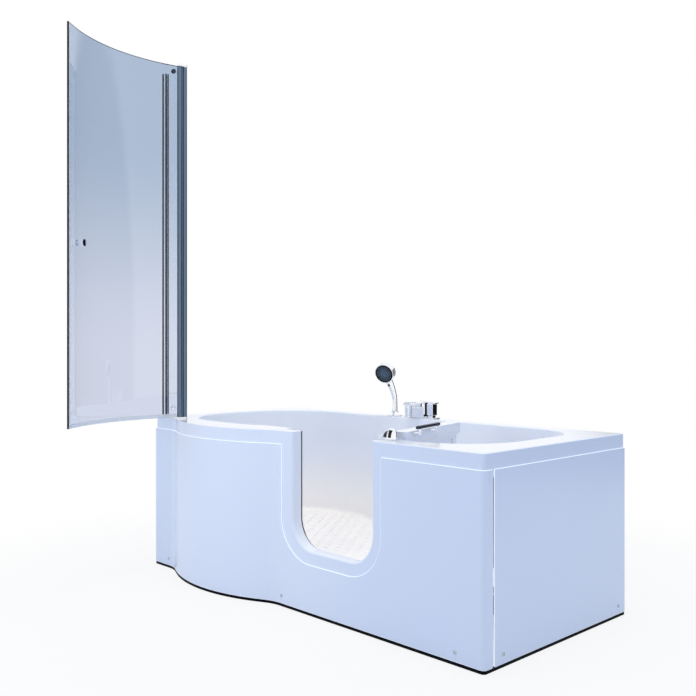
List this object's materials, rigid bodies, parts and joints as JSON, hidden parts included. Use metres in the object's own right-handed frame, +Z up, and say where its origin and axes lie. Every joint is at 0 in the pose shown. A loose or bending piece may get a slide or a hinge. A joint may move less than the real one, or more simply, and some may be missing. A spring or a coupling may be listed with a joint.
{
  "type": "shower bath with screen",
  "caption": "Acrylic shower bath with a bulged shower end, an inward watertight door, deck taps, a hand shower and a curved glass screen that swings on a post.",
  "frame": {"origin": "on the floor under the middle of the bath, on the underside of the centre foot", "axes": "+Z up; +X along the bath from the shower end at the left wall to the panelled end; -Y is the front with the door; +Y is the back wall"},
  "size_m": [1.7061, 1.3304, 2.06],
  "materials": {
    "acrylic": "glossy white acrylic with a cool cast",
    "panel_acrylic": "glossy white acrylic panel",
    "chrome": "bright chrome plate",
    "satin_profile": "satin anodised profile",
    "clear_glass": "clear toughened glass",
    "clear_seal": "translucent soft strip",
    "grey_rubber": "dark grey hollow gasket",
    "black_rubber": "matt black rubber",
    "dark_face": "dark soft spray plate",
    "black_plastic": "glossy black plastic",
    "galvanised_steel": "galvanised tube and strip",
    "white_plastic": "satin white moulded plastic"
  },
  "bodies": {
    "bath": {"bath_shell": "acrylic", "door_frame": "acrylic", "door_gasket": "grey_rubber", "front_panel": "panel_acrylic", "end_panel": "panel_acrylic", "panel_screw_1": "chrome", "panel_screw_2": "chrome", "panel_screw_3": "chrome", "panel_screw_4": "chrome", "panel_screw_5": "chrome", "front_batten": "galvanised_steel", "end_batten": "galvanised_steel", "floor_seal": "black_rubber", "rail_front": "galvanised_steel", "rail_back": "galvanised_steel", "bar_left": "galvanised_steel", "bar_middle": "galvanised_steel", "bar_right": "galvanised_steel", "bar_end": "galvanised_steel", "foot_centre": "galvanised_steel", "foot_front_left": "galvanised_steel", "foot_front_right": "galvanised_steel", "foot_back_left": "galvanised_steel", "foot_back_right": "galvanised_steel", "waste_flange": "chrome", "waste_trap": "white_plastic", "waste_pipe": "white_plastic", "overflow_body": "white_plastic", "hinge_rod": "galvanised_steel", "hinge_block_low": "chrome", "hinge_block_high": "chrome", "shower_holder": "chrome", "diverter_base": "chrome", "spout": "chrome", "mixer_base": "chrome", "deck_plate": "galvanised_steel", "wall_profile": "satin_profile", "fixed_glass": "clear_glass", "pivot_post": "satin_profile", "post_foot": "chrome", "post_top": "chrome"},
    "door": {"door_leaf": "acrylic", "handle_bar": "chrome"},
    "lock": {"lock_lever": "chrome"},
    "screen": {"hinge_profile": "satin_profile", "swing_glass": "clear_glass", "bottom_seal": "clear_seal", "edge_seal": "clear_seal", "glass_knob": "chrome", "glass_clamp_low": "chrome", "glass_clamp_high": "chrome"},
    "shower": {"hand_shower": "chrome", "spray_ring": "black_plastic", "spray_face": "dark_face"},
    "button": {"mode_button": "black_plastic"},
    "diverter": {"diverter_knob": "chrome"},
    "mixer": {"mixer_block": "chrome"},
    "lever": {"mixer_lever": "chrome"},
    "overflow": {"overflow_knob": "chrome"},
    "plug": {"waste_plug": "chrome"}
  },
  "joints": [
    {"name": "door_swing", "type": "hinge", "parent": "bath", "child": "door", "pos_m": [0.44, -0.325, 0.4], "axis": [0, 0, 1], "range_deg": [-14, 76]},
    {"name": "lock_turn", "type": "hinge", "parent": "door", "child": "lock", "pos_m": [0.44, -0.325, 0.616], "axis": [0, 0, 1], "range_deg": [0, 100]},
    {"name": "screen_swing", "type": "hinge", "parent": "bath", "child": "screen", "pos_m": [-0.6935, -0.38, 1.3], "axis": [0, 0, 1], "range_deg": [-15, 75]},
    {"name": "shower_lift", "type": "slide", "parent": "bath", "child": "shower", "axis": [0, 0, 1], "range_m": [0, 0.25]},
    {"name": "button_press", "type": "slide", "parent": "shower", "child": "button", "axis": [-0.2543, 0.9576, 0.1357], "range_m": [0, 0.0012], "stiffness_N_per_m": 300, "springref_m": -0.001},
    {"name": "diverter_turn", "type": "hinge", "parent": "bath", "child": "diverter", "pos_m": [-0.101, 0.355, 0.6226], "axis": [0, 0, 1], "range_deg": [0, 90]},
    {"name": "mixer_turn", "type": "hinge", "parent": "bath", "child": "mixer", "pos_m": [0.0244, 0.355, 0.63], "axis": [0, 0, 1], "range_deg": [-45, 45]},
    {"name": "lever_tilt", "type": "hinge", "parent": "mixer", "child": "lever", "pos_m": [0.0394, 0.355, 0.6768], "axis": [0, 1, 0], "range_deg": [0, 20]},
    {"name": "overflow_turn", "type": "hinge", "parent": "bath", "child": "overflow", "pos_m": [0.70073, 0, 0.5], "axis": [-0.948, 0, 0.3183], "range_deg": [0, 90]},
    {"name": "plug_lift", "type": "slide", "parent": "bath", "child": "plug", "axis": [0, 0, 1], "range_m": [0, 0.009]}
  ],
  "couplings": [
    {"joint": "plug_lift", "follows": "overflow_turn", "m_per_rad": 0.00572}
  ]
}
